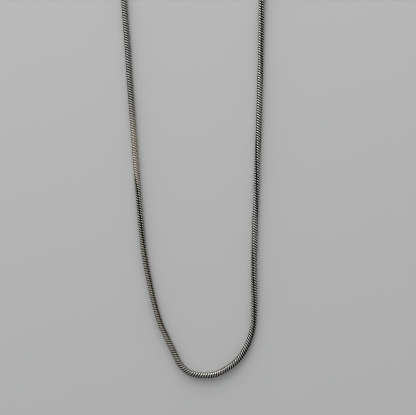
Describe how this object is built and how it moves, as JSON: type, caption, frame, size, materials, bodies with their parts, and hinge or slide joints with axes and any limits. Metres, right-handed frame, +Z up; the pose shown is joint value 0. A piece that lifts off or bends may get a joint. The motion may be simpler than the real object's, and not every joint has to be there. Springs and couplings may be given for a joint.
{
  "type": "snake chain necklace",
  "caption": "Closed round snake chain necklace lying flat in a long loop, with end caps, jump rings and a plain lobster clasp.",
  "frame": {"origin": "middle of the loop's outline, on the surface that the necklace lies on", "axes": "+Y from the lower bend towards the clasp, along the loop's long side; +X to the right seen from above; +Z up from the surface"},
  "size_m": [0.0564, 0.2068, 0.0036],
  "materials": {
    "chain_steel": "polished steel links with dark grooves between them",
    "fitting_steel": "polished steel with fine wear"
  },
  "bodies": {
    "root": {"chain": "chain_steel", "end_cap_left": "fitting_steel", "end_cap_right": "fitting_steel", "jump_ring_left": "fitting_steel", "jump_ring_right": "fitting_steel", "clasp": "fitting_steel"}
  },
  "joints": []
}
